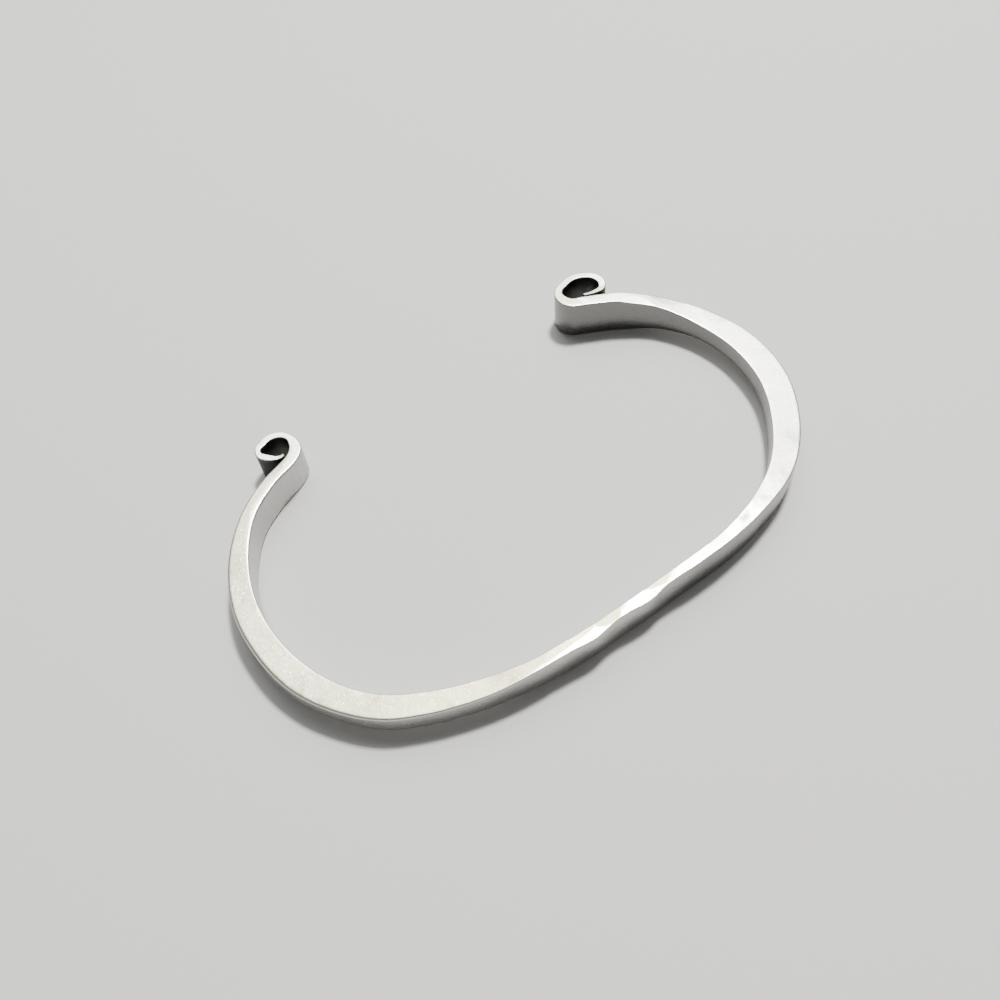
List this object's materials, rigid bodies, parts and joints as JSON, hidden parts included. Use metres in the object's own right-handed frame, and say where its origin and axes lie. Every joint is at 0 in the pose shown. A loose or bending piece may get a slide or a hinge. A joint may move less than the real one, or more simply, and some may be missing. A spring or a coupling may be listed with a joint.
{
  "type": "cuff bracelet",
  "caption": "Plain forged silver cuff bracelet: one hammered bar bent round the wrist, broad at the shoulders, each end rolled outwards into a small open scroll.",
  "frame": {"origin": "on the surface that the cuff lies on, below the middle of its outside", "axes": "+Z through the wrist opening and up, +X across the width between the shoulders, +Y towards the gap between the scrolls, the front of the bar at -Y"},
  "size_m": [0.063, 0.0388, 0.0049],
  "materials": {
    "silver": "satin sterling silver, darkened inside the scrolls"
  },
  "bodies": {
    "root": {"cuff": "silver"}
  },
  "joints": []
}
